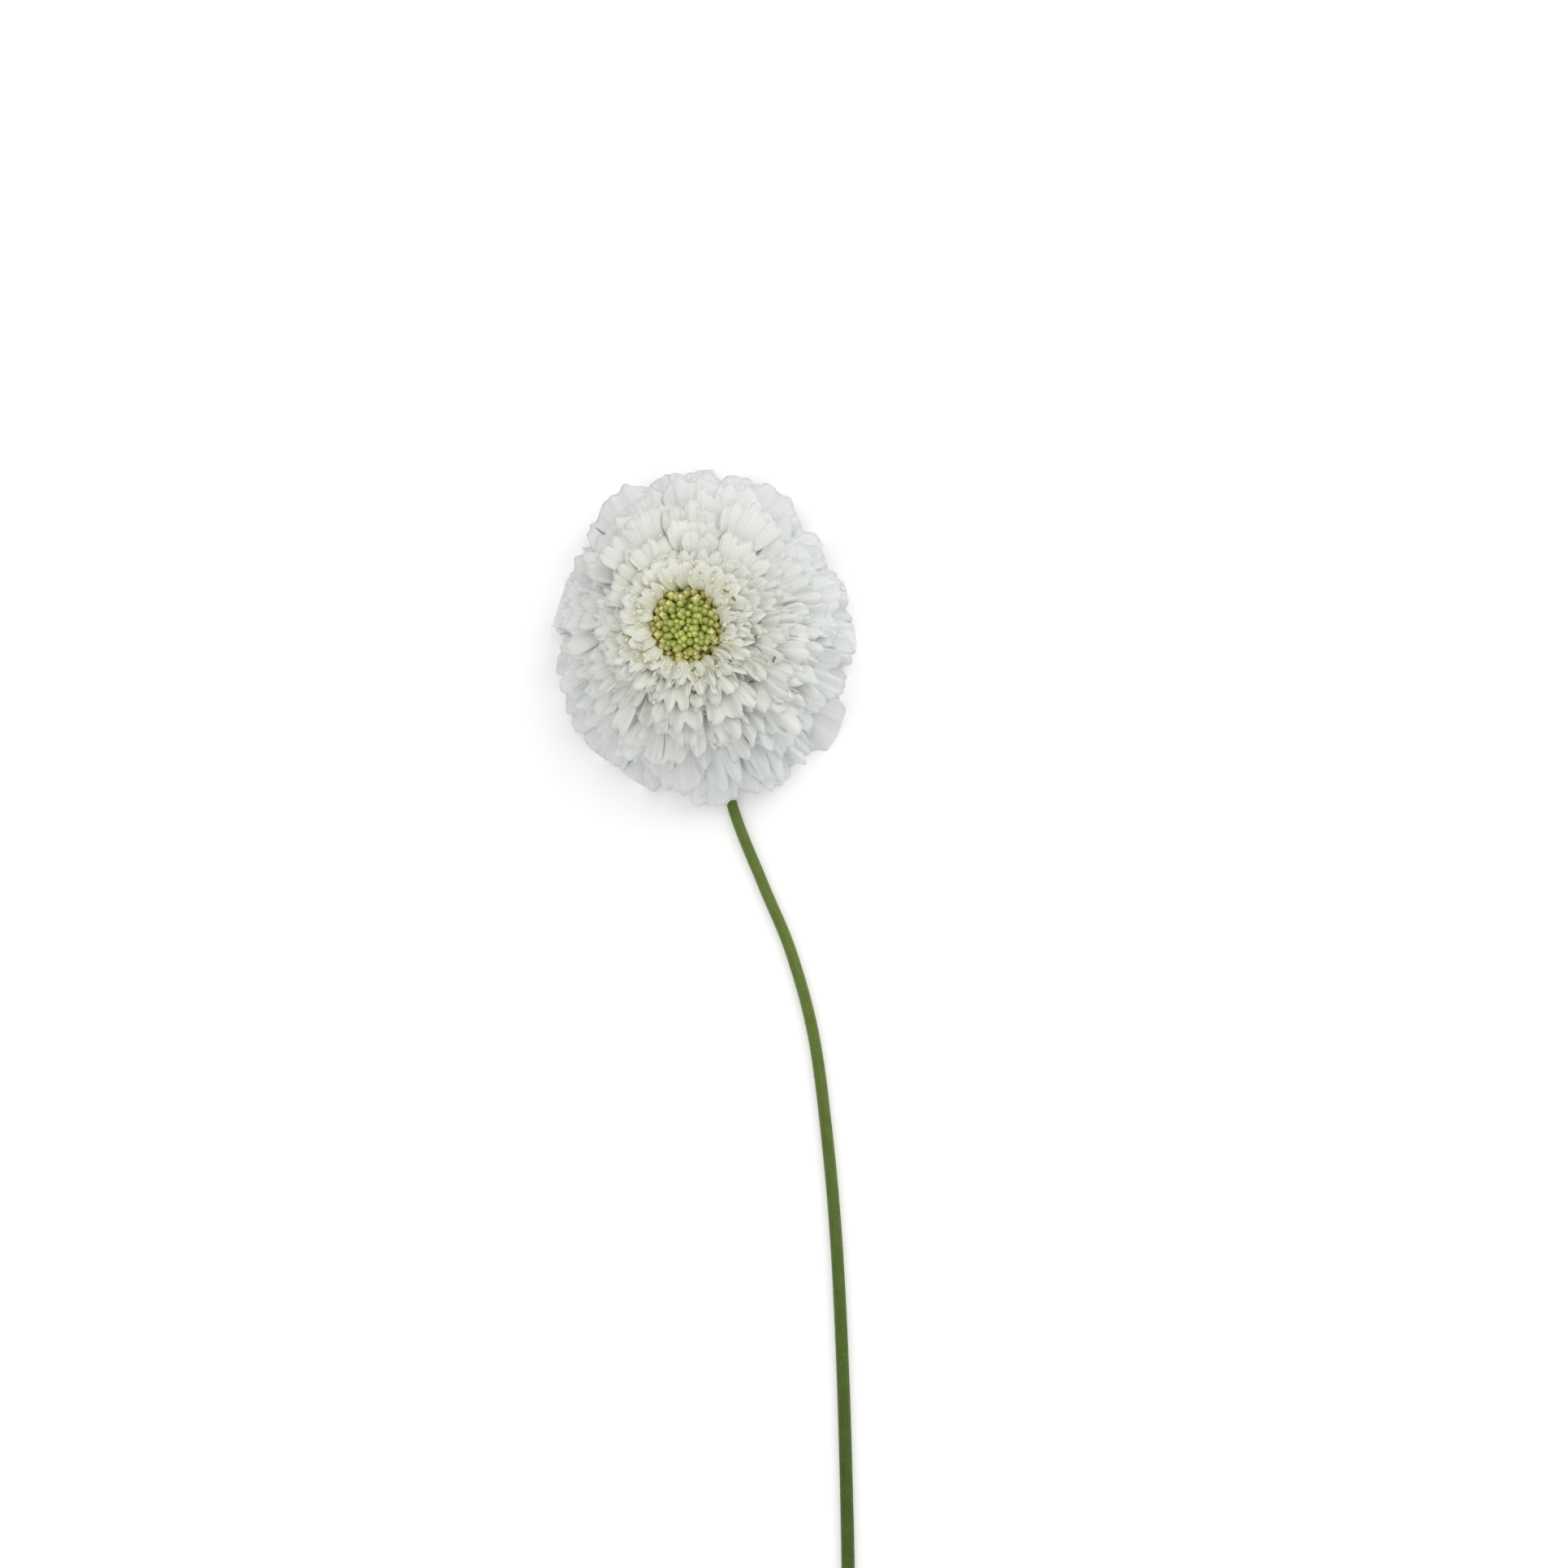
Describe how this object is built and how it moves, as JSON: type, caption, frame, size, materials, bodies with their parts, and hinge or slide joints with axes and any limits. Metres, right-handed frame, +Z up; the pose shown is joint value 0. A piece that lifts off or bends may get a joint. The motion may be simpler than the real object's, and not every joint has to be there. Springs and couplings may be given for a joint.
{
  "type": "scabiosa flower",
  "caption": "Cut white double scabiosa lying on a surface, bloom up: a domed ruffled head with a green bud cushion, bracts under it, and a long bare stem.",
  "frame": {"origin": "the middle of the bounding box's underside, on the surface that the flower lies on", "axes": "+Z up, away from the surface, as the bloom faces; +Y along the flower from the stem's cut end to the bloom; +X to the right of that"},
  "size_m": [0.0598, 0.3524, 0.0342],
  "materials": {
    "stem_green": "fresh green stem, finely ribbed, with short pale hairs",
    "bract_green": "soft green leaf-like bracts, slightly downy",
    "petal_white": "thin cool white petals, matt, letting light through",
    "floret_cream": "thin cream white florets, matt, letting light through",
    "bud_green": "lime to olive unopened buds, waxy"
  },
  "bodies": {
    "root": {"stem": "stem_green", "involucre": "bract_green", "ray_florets": "petal_white", "inner_florets": "floret_cream", "bud_cushion": "bud_green"}
  },
  "joints": []
}
